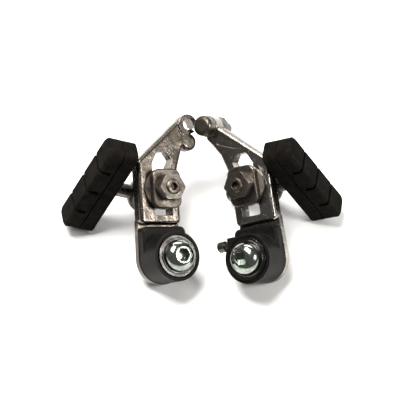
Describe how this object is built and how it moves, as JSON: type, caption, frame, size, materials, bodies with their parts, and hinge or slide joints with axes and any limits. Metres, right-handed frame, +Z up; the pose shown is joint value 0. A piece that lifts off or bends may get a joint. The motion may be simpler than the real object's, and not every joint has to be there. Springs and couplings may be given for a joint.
{
  "type": "rim brake caliper",
  "caption": "Pair of cantilever rim brake units: sprung forged arms on pivot sleeves, moulded spring cases, and brake pads on adjustable ball-eye clamps.",
  "frame": {"origin": "centre of the bounding box in plan, at the surface the pair lies on", "axes": "+X from the left unit's pad to the right unit's pad, +Y from the pivots towards the tips of the arms, +Z up from the table"},
  "size_m": [0.116, 0.0742, 0.046],
  "materials": {
    "forged_alloy": "polished forging, tarnished",
    "alloy_washer": "satin",
    "steel": "zinc plated, worn",
    "plated_steel": "bright plated",
    "dark_steel": "dark, oily",
    "spring_steel": "oiled spring wire",
    "chrome": "polished, tarnished",
    "case": "satin black moulding",
    "bush": "dark acetal",
    "friction_rubber": "matt moulded friction compound"
  },
  "bodies": {
    "left_pivot": {"left_pivot_sleeve": "steel", "left_bolt_washer": "plated_steel", "left_fixing_bolt": "chrome", "left_return_spring": "spring_steel"},
    "left_swing": {"left_arm": "forged_alloy", "left_spring_case": "case", "left_pivot_bush": "bush"},
    "left_carrier": {"left_seat_washer": "steel", "left_cup_washer": "alloy_washer"},
    "left_clamp": {"left_toe_in_washer": "steel", "left_clamp_nut": "steel"},
    "left_eye": {"left_eyebolt": "steel"},
    "left_post": {"left_pad_post": "plated_steel"},
    "left_pad": {"left_backing_plate": "steel", "left_brake_pad": "friction_rubber"},
    "right_pivot": {"right_pivot_sleeve": "steel", "right_bolt_washer": "plated_steel", "right_fixing_bolt": "chrome", "right_return_spring": "spring_steel"},
    "right_swing": {"right_arm": "forged_alloy", "right_spring_case": "case", "right_pivot_bush": "bush"},
    "right_carrier": {"right_seat_washer": "steel", "right_cup_washer": "alloy_washer"},
    "right_clamp": {"right_toe_in_washer": "steel", "right_clamp_nut": "steel"},
    "right_eye": {"right_eyebolt": "steel"},
    "right_post": {"right_pad_post": "plated_steel"},
    "right_pad": {"right_backing_plate": "steel", "right_brake_pad": "friction_rubber"},
    "right_tension": {"right_tension_screw": "dark_steel"},
    "right_anchor": {"right_anchor_bolt": "steel", "right_anchor_washer": "plated_steel"},
    "right_anchor_lock": {"right_anchor_nut": "dark_steel", "right_anchor_back_washer": "plated_steel"}
  },
  "joints": [
    {"name": "left_arm_pivot", "type": "hinge", "parent": "left_pivot", "child": "left_swing", "pos_m": [-0.01622, -0.02246, 0.00912], "axis": [0.4955, -0.3903, 0.776], "range_deg": [0, 40], "stiffness_Nm_per_rad": 0.6, "springref_deg": -22.92, "deforming": ["left_return_spring"]},
    {"name": "left_pad_height", "type": "slide", "parent": "left_swing", "child": "left_carrier", "axis": [-0.0666, 0.8737, 0.482], "range_m": [-0.0055, 0.0059]},
    {"name": "left_toe_in", "type": "hinge", "parent": "left_carrier", "child": "left_clamp", "pos_m": [-0.02352, 0.00688, 0.01282], "axis": [-0.0666, 0.8737, 0.482], "range_deg": [-1, 2]},
    {"name": "left_eye_turn", "type": "hinge", "parent": "left_clamp", "child": "left_eye", "pos_m": [-0.02352, 0.00688, 0.01282], "axis": [0.4955, -0.3903, 0.776], "range_deg": [-3, 3]},
    {"name": "left_post_slide", "type": "slide", "parent": "left_eye", "child": "left_post", "axis": [-0.863, -0.1201, 0.4906], "range_m": [0, 0.005]},
    {"name": "left_pad_twist", "type": "hinge", "parent": "left_post", "child": "left_pad", "pos_m": [-0.02352, 0.00688, 0.01282], "axis": [-0.863, -0.1201, 0.4906], "range_deg": [-15, 15]},
    {"name": "right_arm_pivot", "type": "hinge", "parent": "right_pivot", "child": "right_swing", "pos_m": [0.02464, -0.022, 0.00921], "axis": [0.5135, 0.4761, -0.7139], "range_deg": [0, 40], "stiffness_Nm_per_rad": 0.6, "springref_deg": -22.92, "deforming": ["right_return_spring"]},
    {"name": "right_pad_height", "type": "slide", "parent": "right_swing", "child": "right_carrier", "axis": [-0.1461, 0.8683, 0.474], "range_m": [-0.0072, 0.0042]},
    {"name": "right_toe_in", "type": "hinge", "parent": "right_carrier", "child": "right_clamp", "pos_m": [0.02599, 0.00961, 0.01417], "axis": [-0.1461, 0.8683, 0.474], "range_deg": [-1, 2]},
    {"name": "right_eye_turn", "type": "hinge", "parent": "right_clamp", "child": "right_eye", "pos_m": [0.02599, 0.00961, 0.01417], "axis": [0.5135, 0.4761, -0.7139], "range_deg": [-3, 3]},
    {"name": "right_post_slide", "type": "slide", "parent": "right_eye", "child": "right_post", "axis": [0.8477, -0.1528, 0.5079], "range_m": [0, 0.005]},
    {"name": "right_pad_twist", "type": "hinge", "parent": "right_post", "child": "right_pad", "pos_m": [0.02599, 0.00961, 0.01417], "axis": [0.8477, -0.1528, 0.5079], "range_deg": [-15, 15]},
    {"name": "unit_gap", "type": "slide", "parent": "left_pivot", "child": "right_pivot", "axis": [1, 0, 0], "range_m": [0, 0.03]},
    {"name": "right_tension_adjust", "type": "slide", "parent": "right_swing", "child": "right_tension", "axis": [-0.8455, 0.1392, -0.5154], "range_m": [0, 0.0015]},
    {"name": "right_anchor_turn", "type": "hinge", "parent": "right_swing", "child": "right_anchor", "pos_m": [0.00259, 0.02779, 0.03146], "axis": [-0.5135, -0.4761, 0.7139], "range_deg": [-180, 180]},
    {"name": "right_anchor_slack", "type": "slide", "parent": "right_anchor", "child": "right_anchor_lock", "axis": [0.5135, 0.4761, -0.7139], "range_m": [0, 0.002]}
  ]
}
